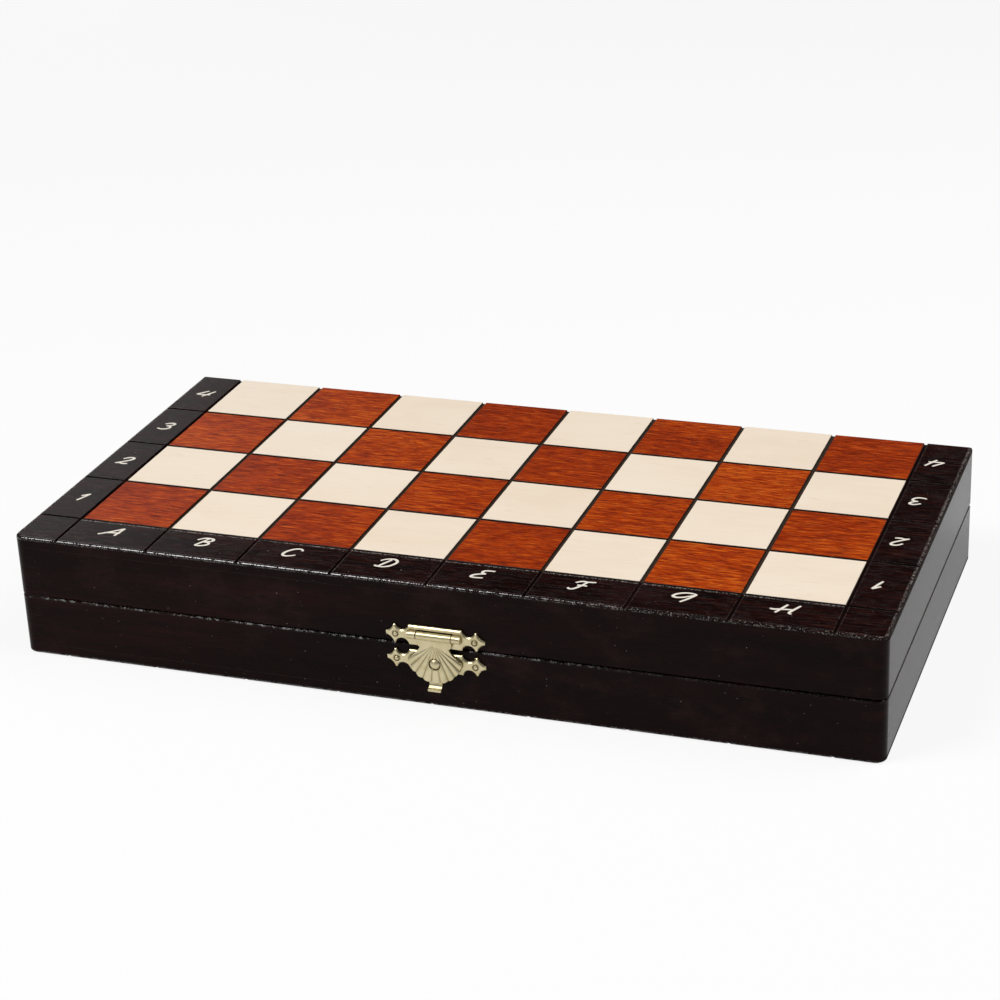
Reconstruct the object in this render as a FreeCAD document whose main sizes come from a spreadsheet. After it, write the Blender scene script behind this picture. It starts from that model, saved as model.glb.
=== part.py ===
import FreeCAD
import Part
import Sketcher
import os
import re

# Folding chess board: a flat wooden box in two hinged halves. Each half is a tray of four finger-jointed
# rails on a board, and the outer face of that board carries four ranks of the playing field. A brass hasp
# with a shell-shaped tongue closes the front over a stud, and two butt hinges join the rear.
# Frame: X to the right, Y to the rear, Z up, millimetres, closed box. The origin is the middle of the
# underside. Each half is drawn in a tray frame, playing face at z = 0 and parting face at z = half_height;
# the lower half stays there, and the upper half is turned over about Y onto it.

SIZES = {
    # Playing field and case
    "square_pitch": 34.5,
    "side_border": 17,
    "front_border": 19.5,
    "half_height": 22.65,
    "parting_gap": 0.3,
    "rail_thickness": 8,
    "board_thickness": 4,
    "corner_radius": 4,
    "edge_round": 1,
    "parting_ease": 0.5,
    "finger_count": 5,
    "line_width": 1.2,
    "veneer_thickness": 0.6,
    "square_ease": 0.25,
    "lining_thickness": 1,
    "lining_gap": 0.3,
    # Fits
    "running_gap": 0.05,
    "seat_gap": 0.1,
    "relief_gap": 0.3,
    "knuckle_gap": 0.3,
    "cut_overrun": 2,
    # Butt hinges and their screws
    "hinge_offset": 95,
    "hinge_length": 28,
    "leaf_width": 6.4,
    "leaf_thickness": 0.9,
    "leaf_knuckle_diameter": 3.6,
    "middle_knuckle": 10,
    "hinge_pin_diameter": 1.6,
    "screw_spacing": 16,
    "screw_head_diameter": 3,
    "screw_shank_diameter": 1.6,
    "screw_length": 7,
    # Latch plates and their nails
    "latch_offset": 2.9,
    "upper_plate_rise": 3.7,
    "lower_plate_drop": 5.5,
    "plate_width": 35.4,
    "plate_height": 7.4,
    "plate_body_width": 19,
    "plate_thickness": 1.2,
    "plate_bevel": 0.4,
    "spike_offset": 3.2,
    "spike_rise": 3.4,
    "spike_blunt": 0.6,
    "tip_blunt": 1.2,
    "notch_depth": 1.95,
    "tip_hollow": 0.55,
    "nail_offset": 3.6,
    "nail_head_diameter": 2.6,
    "nail_head_height": 0.7,
    "nail_crown_diameter": 1.7,
    "nail_shank_diameter": 1,
    "nail_depth": 6,
    # Hasp, its pin and the stud that it closes over
    "hasp_axis_rise": 4.4,
    "hasp_axis_stand": 1.8,
    "hasp_barrel_diameter": 2.8,
    "hasp_pin_diameter": 1.2,
    "plate_knuckle": 3,
    "hasp_stand": 1.5,
    "hasp_thickness": 0.8,
    "band_width": 12.3,
    "band_end_rise": 1.9,
    "band_round": 0.3,
    "neck_width": 10.1,
    "neck_rise": 0.4,
    "shell_side_hollow": 0.4,
    "shell_radius": 9.6,
    "shell_centre_drop": 2.7,
    "fan_apex_rise": 1.5,
    "fan_half_angle": 59,
    "flute_count": 9,
    "flute_slope": 2.6,
    "scallop_rise": 0.35,
    "lip_width": 4.6,
    "lip_bend_drop": 12.6,
    "lip_bend_radius": 2.6,
    "lip_overlap": 1.5,
    "stud_drop": 5.6,
    "stud_diameter": 3.7,
    "stud_dome_height": 1,
    "stud_stand": 2.4,
    "rivet_diameter": 1.8,
    "hasp_hole_gap": 0.3,
}

FILES = 8
RANKS_PER_HALF = 4
X_AXIS = FreeCAD.Vector(1, 0, 0)
Y_AXIS = FreeCAD.Vector(0, 1, 0)
Z_AXIS = FreeCAD.Vector(0, 0, 1)
UPRIGHT = FreeCAD.Rotation()
TOLERANCE = 1e-4

# Sizes that follow from the sheet, as expressions of its names
CASE_WIDTH = f"({FILES} * square_pitch + 2 * side_border)"
CASE_DEPTH = f"({RANKS_PER_HALF} * square_pitch + front_border)"
RIGHT = f"({CASE_WIDTH} / 2)"
LEFT = f"(-{CASE_WIDTH} / 2)"
REAR = f"({CASE_DEPTH} / 2)"
FRONT = f"(-{CASE_DEPTH} / 2)"
FIELD_FRONT = f"({FRONT} + front_border)"
FIELD_SIDE = f"({FILES} * square_pitch / 2)"
RAIL_HEIGHT = "(half_height - board_thickness)"
FINGER = f"({RAIL_HEIGHT} / finger_count)"
SPLIT = "(half_height + parting_gap / 2)"
HINGE_Y = f"({REAR} + parting_gap / 2)"
SCREW_Y = f"({REAR} - leaf_width / 2)"
KNUCKLE_RADIUS = "(leaf_knuckle_diameter / 2)"
HASP_AXIS_Y = f"({FRONT} - hasp_axis_stand)"
HASP_AXIS_Z = f"({SPLIT} + hasp_axis_rise)"
BARREL_RADIUS = "(hasp_barrel_diameter / 2)"
WINDOW_HALF = "(band_width / 2 + knuckle_gap)"
STUD_Z = f"({SPLIT} - stud_drop)"
SPIKE_X = "(plate_width / 2 - spike_offset)"
NAIL_X = "(plate_width / 2 - nail_offset)"
NAIL_HOLE_RADIUS = "(nail_shank_diameter / 2 + running_gap)"

# A quarter round rises from its chord by this share of its radius
QUARTER_RISE = "(1 - sqrt(0.5))"

TRAYS = {
    "lower": (("0", "0", "0"), UPRIGHT),
    "upper": (("0", "0", "2 * half_height + parting_gap"), FreeCAD.Rotation(Y_AXIS, 180)),
}
LATCH_X = {"lower": "latch_offset", "upper": "(-latch_offset)"}
PLATE_DROP = {"lower": "lower_plate_drop", "upper": "upper_plate_rise"}
HINGE_X = {
    "left": {"lower": "(-hinge_offset)", "upper": "hinge_offset"},
    "right": {"lower": "hinge_offset", "upper": "(-hinge_offset)"},
}

ALIAS = re.compile(r"\b(%s)\b" % "|".join(SIZES))

doc = FreeCAD.newDocument("FoldingChessBoard")
sheet = doc.addObject("Spreadsheet::Sheet", "Sizes")
for row, (alias, value) in enumerate(SIZES.items(), 1):
    sheet.set(f"A{row}", alias)
    sheet.set(f"B{row}", str(value))
    sheet.setAlias(f"B{row}", alias)
doc.recompute()
nodes = {}


# Binding and placing

def number(expression):
    """Present value of an expression of the sheet's names."""
    value = sheet.evalExpression(expression)
    return float(getattr(value, "Value", value))


def bind(item, prop, expression):
    """Tie a property to an expression of the sheet's names."""
    item.setExpression(prop, ALIAS.sub(r"Sizes.\1", expression))


def place(item, point, rotation=UPRIGHT):
    """Turn an object and tie its position to three expressions."""
    item.Placement = FreeCAD.Placement(FreeCAD.Vector(), rotation)
    for axis, expression in zip("xyz", point):
        bind(item, f"Placement.Base.{axis}", expression)


def keep(item, label, tray="lower"):
    """Name a finished sub-part and put it in its half of the box."""
    item.Label = label
    place(item, *TRAYS[tray])
    nodes[label] = item


# Sketches

def constrain(sketch, constraint, expression):
    """Add a dimension and tie it to an expression."""
    index = sketch.addConstraint(constraint)
    bind(sketch, f"Constraints[{index}]", expression)


def pin_point(sketch, geometry, position, x, y):
    """Fix one point of a sketch by its two coordinates."""
    constrain(sketch, Sketcher.Constraint("DistanceX", -1, 1, geometry, position, number(x)), x)
    constrain(sketch, Sketcher.Constraint("DistanceY", -1, 1, geometry, position, number(y)), y)


def arc_between(start, end, rise):
    """Arc that rises from its chord: to the right of travel if positive, to the left if negative."""
    chord = end - start
    radius = (chord.Length ** 2 / 4 + rise ** 2) / (2 * abs(rise))
    left = FreeCAD.Vector(-chord.y, chord.x, 0).normalize()
    side = 1 if rise > 0 else -1
    centre = (start + end) / 2 + left * (radius - abs(rise)) * side
    first, last = (start, end) if rise > 0 else (end, start)
    angles = [X_AXIS.getAngle(point - centre) * (1 if point.y >= centre.y else -1) for point in (first, last)]
    return Part.ArcOfCircle(Part.Circle(centre, Z_AXIS, radius), *angles)


def add_outline(sketch, corners):
    """Closed anticlockwise outline. A corner is (x, y), or (x, y, rise) where an arc runs to the next one."""
    first = sketch.GeometryCount
    count = len(corners)
    points = [FreeCAD.Vector(number(corner[0]), number(corner[1]), 0) for corner in corners]
    ends = []
    for index, corner in enumerate(corners):
        start = points[index]
        end = points[(index + 1) % count]
        if len(corner) == 2:
            sketch.addGeometry(Part.LineSegment(start, end))
            ends.append((1, 2))
        else:
            rise = number(corner[2])
            sketch.addGeometry(arc_between(start, end, rise))
            ends.append((1, 2) if rise > 0 else (2, 1))
    for index in range(count):
        after = (index + 1) % count
        end_of_this = (first + index, ends[index][1])
        start_of_next = (first + after, ends[after][0])
        sketch.addConstraint(Sketcher.Constraint("Coincident", *end_of_this, *start_of_next))
    for index, corner in enumerate(corners):
        pin_point(sketch, first + index, ends[index][0], corner[0], corner[1])
        if len(corner) == 3:
            after = corners[(index + 1) % count]
            chord = f"((({after[0]}) - ({corner[0]}))^2 + (({after[1]}) - ({corner[1]}))^2)"
            radius = f"({chord} / 4 + ({corner[2]})^2) / (2 * abs({corner[2]}))"
            constrain(sketch, Sketcher.Constraint("Radius", first + index, number(radius)), radius)


def add_rectangle(sketch, x_low, x_high, y_low, y_high):
    add_outline(sketch, [(x_low, y_low), (x_high, y_low), (x_high, y_high), (x_low, y_high)])


def add_circle(sketch, x, y, radius):
    centre = FreeCAD.Vector(number(x), number(y), 0)
    index = sketch.addGeometry(Part.Circle(centre, Z_AXIS, number(radius)))
    pin_point(sketch, index, 3, x, y)
    constrain(sketch, Sketcher.Constraint("Radius", index, number(radius)), radius)


def origin_feature(body, role):
    return next(item for item in body.Origin.OriginFeatures if item.Role == role)


def sketch_on(body, role, offset="0"):
    """Sketch on one of a body's origin planes, or parallel to it."""
    sketch = body.newObject("Sketcher::SketchObject", "Sketch")
    sketch.AttachmentSupport = (origin_feature(body, role), [""])
    sketch.MapMode = "FlatFace"
    bind(sketch, "AttachmentOffset.Base.z", offset)
    return sketch


def free_sketch(point, rotation):
    sketch = doc.addObject("Sketcher::SketchObject", "Sketch")
    place(sketch, point, rotation)
    return sketch


# Features of a body

def pad(body, sketch, length, reverse=False):
    feature = body.newObject("PartDesign::Pad", "Pad")
    feature.Profile = sketch
    feature.Reversed = reverse
    bind(feature, "Length", length)
    return feature


def pocket(body, sketch, length, reverse=False):
    """Cut a sketch into the body, and make sure that wood or metal was there to cut."""
    doc.recompute()
    before = body.Shape.Volume
    feature = body.newObject("PartDesign::Pocket", "Pocket")
    feature.Profile = sketch
    feature.Reversed = reverse
    bind(feature, "Length", length)
    doc.recompute()
    if body.Shape.Volume > before - TOLERANCE:
        raise RuntimeError(f"{body.Label}: {feature.Name} cuts nothing")
    return feature


def dress(body, kind, size_name, size, chosen):
    """Fillet or chamfer the edges of the body for which chosen(edge) holds."""
    doc.recompute()
    base = body.Tip
    edges = [f"Edge{index}" for index, edge in enumerate(base.Shape.Edges, 1) if chosen(edge)]
    feature = body.newObject(f"PartDesign::{kind}", kind)
    feature.Base = (base, edges)
    bind(feature, size_name, size)
    return feature


def repeat(body, feature, role, length, count):
    """Row of copies of a feature along one of the body's axes."""
    pattern = body.newObject("PartDesign::LinearPattern", "Row")
    pattern.Originals = [feature]
    pattern.Direction = (origin_feature(body, role), [""])
    bind(pattern, "Length", length)
    bind(pattern, "Occurrences", count)
    body.Tip = pattern


def mirror(body, features, role):
    """Copy features to the other side of one of the body's planes."""
    copy = body.newObject("PartDesign::Mirrored", "Mirror")
    copy.Originals = features
    copy.MirrorPlane = (origin_feature(body, role), [""])
    body.Tip = copy


def lies_at(edge, axis, level):
    """Whether an edge lies wholly at one level of an axis, named x, y or z."""
    box = edge.BoundBox
    ends = (getattr(box, axis.upper() + "Min"), getattr(box, axis.upper() + "Max"))
    return all(abs(end - level) < TOLERANCE for end in ends)


# Part primitives and booleans

def rod(radius, length, start, direction):
    item = doc.addObject("Part::Cylinder", "Rod")
    bind(item, "Radius", radius)
    bind(item, "Height", length)
    place(item, start, FreeCAD.Rotation(Z_AXIS, direction))
    return item


def block(length, width, height, corner):
    item = doc.addObject("Part::Box", "Block")
    bind(item, "Length", length)
    bind(item, "Width", width)
    bind(item, "Height", height)
    place(item, corner)
    return item


def turned(profile, point, outward):
    """Round piece from a profile of (radius, height along its axis) corners."""
    sketch = free_sketch(("0", "0", "0"), UPRIGHT)
    add_outline(sketch, profile)
    item = doc.addObject("Part::Revolution", "Turned")
    item.Source = sketch
    item.Axis = Y_AXIS
    item.Angle = 360
    item.Solid = True
    place(item, point, FreeCAD.Rotation(Y_AXIS, outward))
    return item


def extruded(sketch, length):
    item = doc.addObject("Part::Extrusion", "Extruded")
    item.Base = sketch
    item.DirMode = "Normal"
    item.Solid = True
    bind(item, "LengthFwd", length)
    return item


def united(items):
    if len(items) == 1:
        return items[0]
    item = doc.addObject("Part::MultiFuse", "United")
    item.Shapes = items
    return item


def cut(base, tools):
    item = doc.addObject("Part::Cut", "Cut")
    item.Base = base
    item.Tool = united(tools)
    return item


def grouped(items):
    item = doc.addObject("Part::Compound", "Group")
    item.Links = items
    return item


# Wooden halves

def make_board(tray):
    """Panel with rounded front corners, a recess for the squares and lines milled through its border."""
    label = f"{tray}_board"
    body = doc.addObject("PartDesign::Body", label)
    plan = sketch_on(body, "XY_Plane")
    add_outline(plan, [
        (f"{LEFT} + corner_radius", FRONT),
        (f"{RIGHT} - corner_radius", FRONT, f"corner_radius * {QUARTER_RISE}"),
        (RIGHT, f"{FRONT} + corner_radius"),
        (RIGHT, REAR),
        (LEFT, REAR),
        (LEFT, f"{FRONT} + corner_radius", f"corner_radius * {QUARTER_RISE}"),
    ])
    pad(body, plan, "board_thickness")
    rear = number(REAR)
    dress(body, "Fillet", "Radius", "edge_round",
          lambda edge: lies_at(edge, "z", 0) and not lies_at(edge, "y", rear))
    field = sketch_on(body, "XY_Plane")
    add_rectangle(field, f"-{FIELD_SIDE} - line_width / 2", f"{FIELD_SIDE} + line_width / 2",
                  f"{FIELD_FRONT} - line_width / 2", f"{REAR} + cut_overrun")
    pocket(body, field, "veneer_thickness", reverse=True)
    column = sketch_on(body, "XY_Plane")
    add_rectangle(column, f"-{FIELD_SIDE} - line_width / 2", f"-{FIELD_SIDE} + line_width / 2",
                  f"{FRONT} - cut_overrun", FIELD_FRONT)
    repeat(body, pocket(body, column, "veneer_thickness", reverse=True), "X_Axis",
           f"{FILES} * square_pitch", f"{FILES + 1}")
    rank = sketch_on(body, "XY_Plane")
    add_rectangle(rank, f"{LEFT} - cut_overrun", f"{RIGHT} + cut_overrun",
                  f"{FIELD_FRONT} - line_width / 2", f"{FIELD_FRONT} + line_width / 2")
    repeat(body, pocket(body, rank, "veneer_thickness", reverse=True), "Y_Axis",
           f"{RANKS_PER_HALF - 1} * square_pitch", f"{RANKS_PER_HALF}")
    keep(body, label, tray)


def make_squares(tray, tone, parity):
    """Veneer squares of one tone, seated in the recess with a line's width between them."""
    label = f"{tray}_{tone}_squares"
    body = doc.addObject("PartDesign::Body", label)
    body.AllowCompound = True
    plan = sketch_on(body, "XY_Plane")
    for rank in range(RANKS_PER_HALF):
        last = rank == RANKS_PER_HALF - 1
        rear = REAR if last else f"{FIELD_FRONT} + {rank + 1} * square_pitch - line_width / 2"
        for file in range((rank + parity) % 2, FILES, 2):
            add_rectangle(plan, f"-{FIELD_SIDE} + {file} * square_pitch + line_width / 2",
                          f"-{FIELD_SIDE} + {file + 1} * square_pitch - line_width / 2",
                          f"{FIELD_FRONT} + {rank} * square_pitch + line_width / 2", rear)
    pad(body, plan, "veneer_thickness")
    rear = number(REAR)
    dress(body, "Chamfer", "Size", "square_ease",
          lambda edge: lies_at(edge, "z", 0) and not lies_at(edge, "y", rear))
    keep(body, label, tray)


def make_rail(label, outline, is_inner):
    """Rail standing on the board, its outer edge eased at the parting face."""
    body = doc.addObject("PartDesign::Body", label)
    plan = sketch_on(body, "XY_Plane", "board_thickness")
    add_outline(plan, outline)
    pad(body, plan, RAIL_HEIGHT)
    top = number("half_height")
    dress(body, "Chamfer", "Size", "parting_ease",
          lambda edge: lies_at(edge, "z", top) and not is_inner(edge))
    return body


def cut_fingers(body, role, offset, spans, first, count):
    """Notch both ends of a rail for the fingers of its neighbours, every second finger from the first."""
    notch = sketch_on(body, role, offset)
    for low, high in spans:
        add_rectangle(notch, low, high, f"board_thickness + {first} * {FINGER}",
                      f"board_thickness + {first + 1} * {FINGER}")
    feature = pocket(body, notch, "rail_thickness")
    repeat(body, feature, "Z_Axis", f"2 * {FINGER} * ({count} - 1)", count)


def make_front_rail(tray):
    """Front rail with rounded ends and pilot holes for the latch nails."""
    label = f"{tray}_front_rail"
    inner = number(f"{FRONT} + rail_thickness")
    body = make_rail(label, [
        (f"{LEFT} + corner_radius", FRONT),
        (f"{RIGHT} - corner_radius", FRONT, f"corner_radius * {QUARTER_RISE}"),
        (RIGHT, f"{FRONT} + corner_radius"),
        (RIGHT, f"{FRONT} + rail_thickness"),
        (LEFT, f"{FRONT} + rail_thickness"),
        (LEFT, f"{FRONT} + corner_radius", f"corner_radius * {QUARTER_RISE}"),
    ], lambda edge: lies_at(edge, "y", inner))
    cut_fingers(body, "XZ_Plane", f"-{FRONT}", end_spans(LEFT, RIGHT), 1, "floor(finger_count / 2)")
    pilots = sketch_on(body, "XZ_Plane", f"-{FRONT}")
    for side in "-+":
        add_circle(pilots, f"{LATCH_X[tray]} {side} {NAIL_X}", f"{SPLIT} - {PLATE_DROP[tray]}",
                   NAIL_HOLE_RADIUS)
    pocket(body, pilots, "nail_depth + relief_gap")
    keep(body, label, tray)


def make_rear_rail(tray):
    """Rear rail with mortises for the hinge leaves, reliefs for their barrels and screw pilot holes."""
    label = f"{tray}_rear_rail"
    inner = f"{REAR} - rail_thickness"
    inner_level = number(inner)
    body = make_rail(label, [(LEFT, inner), (RIGHT, inner), (RIGHT, REAR), (LEFT, REAR)],
                     lambda edge: lies_at(edge, "y", inner_level))
    cut_fingers(body, "XZ_Plane", f"-({inner})", end_spans(LEFT, RIGHT), 1,
                "floor(finger_count / 2)")
    mortise = sketch_on(body, "XY_Plane", "half_height")
    half_mortise = "(hinge_length / 2 + seat_gap)"
    add_rectangle(mortise, f"hinge_offset - {half_mortise}", f"hinge_offset + {half_mortise}",
                  f"{REAR} - leaf_width - seat_gap", f"{REAR} + cut_overrun")
    relief = sketch_on(body, "YZ_Plane", "hinge_offset + hinge_length / 2 + relief_gap")
    add_circle(relief, HINGE_Y, SPLIT, f"{KNUCKLE_RADIUS} + relief_gap")
    pilots = sketch_on(body, "XY_Plane", "half_height - leaf_thickness")
    for side in "-+":
        add_circle(pilots, f"hinge_offset {side} screw_spacing / 2", SCREW_Y,
                   "screw_shank_diameter / 2 + running_gap")
    features = [
        pocket(body, mortise, "leaf_thickness"),
        pocket(body, relief, "hinge_length + 2 * relief_gap"),
        pocket(body, pilots, "screw_length - leaf_thickness + relief_gap"),
    ]
    mirror(body, features, "YZ_Plane")
    keep(body, label, tray)


def make_side_rails(tray):
    """Left and right rails, each with a rounded front corner."""
    rise = f"corner_radius * {QUARTER_RISE}"
    outlines = {
        "left": (f"{LEFT} + rail_thickness", LEFT, [
            (f"{LEFT} + corner_radius", FRONT),
            (f"{LEFT} + rail_thickness", FRONT),
            (f"{LEFT} + rail_thickness", REAR),
            (LEFT, REAR),
            (LEFT, f"{FRONT} + corner_radius", rise),
        ]),
        "right": (f"{RIGHT} - rail_thickness", f"{RIGHT} - rail_thickness", [
            (f"{RIGHT} - rail_thickness", FRONT),
            (f"{RIGHT} - corner_radius", FRONT, rise),
            (RIGHT, f"{FRONT} + corner_radius"),
            (RIGHT, REAR),
            (f"{RIGHT} - rail_thickness", REAR),
        ]),
    }
    for side, (inner, low_face, outline) in outlines.items():
        label = f"{tray}_{side}_rail"
        inner_level = number(inner)
        body = make_rail(label, outline, lambda edge, level=inner_level: lies_at(edge, "x", level))
        cut_fingers(body, "YZ_Plane", f"({low_face}) + rail_thickness", end_spans(FRONT, REAR), 0,
                    "ceil(finger_count / 2)")
        keep(body, label, tray)


def end_spans(low, high):
    """The two stretches, one rail thick, at the ends of a rail."""
    return [(low, f"{low} + rail_thickness"), (f"{high} - rail_thickness", high)]


def make_lining(tray):
    """Felt sheet laid on the floor of the tray."""
    margin = "(rail_thickness + lining_gap)"
    sheet_of_felt = block(f"{CASE_WIDTH} - 2 * {margin}", f"{CASE_DEPTH} - 2 * {margin}", "lining_thickness",
                          (f"{LEFT} + {margin}", f"{FRONT} + {margin}", "board_thickness"))
    group = grouped([sheet_of_felt])
    keep(group, f"{tray}_lining", tray)


# Butt hinges

OUTER_KNUCKLES = (
    ("-hinge_length / 2", "-middle_knuckle / 2 - knuckle_gap"),
    ("middle_knuckle / 2 + knuckle_gap", "hinge_length / 2"),
)
MIDDLE_KNUCKLES = (("-middle_knuckle / 2", "middle_knuckle / 2"),)
OUTER_CLEARANCES = (
    ("-hinge_length / 2 - cut_overrun", "-middle_knuckle / 2"),
    ("middle_knuckle / 2", "hinge_length / 2 + cut_overrun"),
)
MIDDLE_CLEARANCES = (("-middle_knuckle / 2 - knuckle_gap", "middle_knuckle / 2 + knuckle_gap"),)
LEAF_KNUCKLES = {
    "lower": (OUTER_KNUCKLES, MIDDLE_CLEARANCES),
    "upper": (MIDDLE_KNUCKLES, OUTER_CLEARANCES),
}


def hinge_rods(centre, spans, radius):
    """Cylinders on the hinge axis over stretches measured from the middle of the hinge."""
    return [rod(radius, f"({high}) - ({low})", (f"{centre} + {low}", HINGE_Y, SPLIT), X_AXIS)
            for low, high in spans]


def make_leaf(side, tray):
    """Hinge leaf, flush in its mortise, with its own knuckles and room for those of the other leaf."""
    centre = HINGE_X[side][tray]
    knuckles, clearances = LEAF_KNUCKLES[tray]
    plate = block("hinge_length", f"leaf_width + ({HINGE_Y} - {REAR})", "leaf_thickness",
                  (f"{centre} - hinge_length / 2", f"{REAR} - leaf_width", "half_height - leaf_thickness"))
    solid = cut(plate, hinge_rods(centre, clearances, f"{KNUCKLE_RADIUS} + relief_gap"))
    bore = hinge_rods(centre, (("-hinge_length / 2 - cut_overrun", "hinge_length / 2 + cut_overrun"),),
                      "hinge_pin_diameter / 2 + running_gap")
    countersinks = []
    for sign in "-+":
        cone = doc.addObject("Part::Cone", "Countersink")
        bind(cone, "Radius1", "screw_shank_diameter / 2 + running_gap")
        bind(cone, "Radius2", "screw_head_diameter / 2 + running_gap")
        bind(cone, "Height", "leaf_thickness")
        place(cone, (f"{centre} {sign} screw_spacing / 2", SCREW_Y, "half_height - leaf_thickness"))
        countersinks.append(cone)
    leaf = cut(united([solid] + hinge_rods(centre, knuckles, KNUCKLE_RADIUS)), bore + countersinks)
    keep(leaf, f"hinge_{side}_{tray}_leaf", tray)


def make_hinge_pin(side):
    centre = HINGE_X[side]["lower"]
    pin = hinge_rods(centre, (("-hinge_length / 2", "hinge_length / 2"),), "hinge_pin_diameter / 2")
    keep(grouped(pin), f"hinge_{side}_pin")


def make_hinge_screws(tray):
    """Countersunk screws of both leaves on one half."""
    profile = [
        ("0", "-screw_length"),
        ("screw_shank_diameter / 2", "-screw_length"),
        ("screw_shank_diameter / 2", "-leaf_thickness"),
        ("screw_head_diameter / 2", "0"),
        ("0", "0"),
    ]
    screws = []
    for side in HINGE_X:
        for sign in "-+":
            x = f"{HINGE_X[side][tray]} {sign} screw_spacing / 2"
            screws.append(turned(profile, (x, SCREW_Y, "half_height"), Z_AXIS))
    keep(grouped(screws), f"{tray}_hinge_screws", tray)


# Latch

PLATE_END = (
    ("plate_body_width / 2", "-plate_height / 2", "-notch_depth"),
    (f"{SPIKE_X} - spike_blunt / 2", "-spike_rise"),
    (f"{SPIKE_X} + spike_blunt / 2", "-spike_rise", "-tip_hollow"),
    ("plate_width / 2", "-tip_blunt / 2"),
    ("plate_width / 2", "tip_blunt / 2", "-tip_hollow"),
    (f"{SPIKE_X} + spike_blunt / 2", "spike_rise"),
    (f"{SPIKE_X} - spike_blunt / 2", "spike_rise", "-notch_depth"),
    ("plate_body_width / 2", "plate_height / 2"),
)


def plate_outline(centre_z):
    """Plate with a straight middle, and at each end two round notches, two blunt spikes and a blunt tip."""
    return [(f"latch_offset {sign} ({x})", f"{centre_z} {sign} ({z})", *rise)
            for sign in "+-" for x, z, *rise in PLATE_END]


def make_plate(label, centre_z):
    """Bevelled plate on the front face, with its two nail holes."""
    body = doc.addObject("PartDesign::Body", label)
    outline = sketch_on(body, "XZ_Plane", f"-{FRONT}")
    add_outline(outline, plate_outline(centre_z))
    pad(body, outline, "plate_thickness")
    face = number(f"{FRONT} - plate_thickness")
    dress(body, "Chamfer", "Size", "plate_bevel", lambda edge: lies_at(edge, "y", face))
    holes = sketch_on(body, "XZ_Plane", f"-{FRONT} + plate_thickness")
    for sign in "-+":
        add_circle(holes, f"latch_offset {sign} {NAIL_X}", centre_z, NAIL_HOLE_RADIUS)
    pocket(body, holes, "plate_thickness")
    return body


def make_upper_plate():
    """Plate that carries the hasp: a window for its barrel between two knuckles."""
    body = make_plate("upper_latch_plate", f"{SPLIT} + upper_plate_rise")
    window = sketch_on(body, "XZ_Plane", f"-{FRONT} + plate_thickness")
    reach = f"({BARREL_RADIUS} + relief_gap)"
    add_rectangle(window, f"latch_offset - {WINDOW_HALF}", f"latch_offset + {WINDOW_HALF}",
                  f"{HASP_AXIS_Z} - {reach}", f"{HASP_AXIS_Z} + {reach}")
    pocket(body, window, "plate_thickness")
    for start in (f"latch_offset - {WINDOW_HALF} - plate_knuckle", f"latch_offset + {WINDOW_HALF}"):
        knuckle = sketch_on(body, "YZ_Plane", start)
        add_circle(knuckle, HASP_AXIS_Y, HASP_AXIS_Z, BARREL_RADIUS)
        pad(body, knuckle, "plate_knuckle")
    bore = sketch_on(body, "YZ_Plane", f"latch_offset + {WINDOW_HALF} + plate_knuckle")
    add_circle(bore, HASP_AXIS_Y, HASP_AXIS_Z, "hasp_pin_diameter / 2 + running_gap")
    pocket(body, bore, f"2 * ({WINDOW_HALF} + plate_knuckle)")
    keep(body, "upper_latch_plate")


def make_lower_plate():
    """Plate that carries the stud, riveted through its middle."""
    body = make_plate("lower_latch_plate", f"{SPLIT} - lower_plate_drop")
    hole = sketch_on(body, "XZ_Plane", f"-{FRONT} + plate_thickness")
    add_circle(hole, "latch_offset", STUD_Z, "rivet_diameter / 2 + running_gap")
    pocket(body, hole, "plate_thickness")
    keep(body, "lower_latch_plate")


def make_nails(label, centre_z):
    """Nails of one plate, their heads bevelled round a flat crown."""
    profile = [
        ("0", "-plate_thickness - nail_depth"),
        ("nail_shank_diameter / 2", "-plate_thickness - nail_depth"),
        ("nail_shank_diameter / 2", "0"),
        ("nail_head_diameter / 2", "0"),
        ("nail_crown_diameter / 2", "nail_head_height"),
        ("0", "nail_head_height"),
    ]
    nails = []
    for sign in "-+":
        seat = (f"latch_offset {sign} {NAIL_X}", f"{FRONT} - plate_thickness", centre_z)
        nails.append(turned(profile, seat, -Y_AXIS))
    keep(grouped(nails), label)


def dome_rise(diameter, height):
    """Rise of the arc from the rim of a dome to its top, above the chord between them."""
    radius = f"((({diameter}) / 2)^2 + ({height})^2) / (2 * ({height}))"
    half_chord = f"((({diameter}) / 2)^2 + ({height})^2) / 4"
    return f"({radius} - sqrt(({radius})^2 - {half_chord}))"


def make_stud():
    """Domed stud that the hasp closes over, riveted to the lower plate."""
    profile = [
        ("0", "-plate_thickness"),
        ("rivet_diameter / 2", "-plate_thickness"),
        ("rivet_diameter / 2", "0"),
        ("stud_diameter / 2", "0"),
        ("stud_diameter / 2", "stud_stand - plate_thickness", dome_rise("stud_diameter", "stud_dome_height")),
        ("0", "stud_stand - plate_thickness + stud_dome_height"),
    ]
    stud = turned(profile, ("latch_offset", f"{FRONT} - plate_thickness", STUD_Z), -Y_AXIS)
    keep(grouped([stud]), "catch_stud")


def make_hasp_pin():
    reach = f"({WINDOW_HALF} + plate_knuckle)"
    start = (f"latch_offset - {reach}", HASP_AXIS_Y, HASP_AXIS_Z)
    pin = rod("hasp_pin_diameter / 2", f"2 * {reach}", start, X_AXIS)
    keep(grouped([pin]), "hasp_pin")


def flute_swing(index):
    """Angle of a boundary between flutes, from straight down, negative to the left."""
    return f"((2 * {index} / flute_count - 1) * fan_half_angle)"


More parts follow.
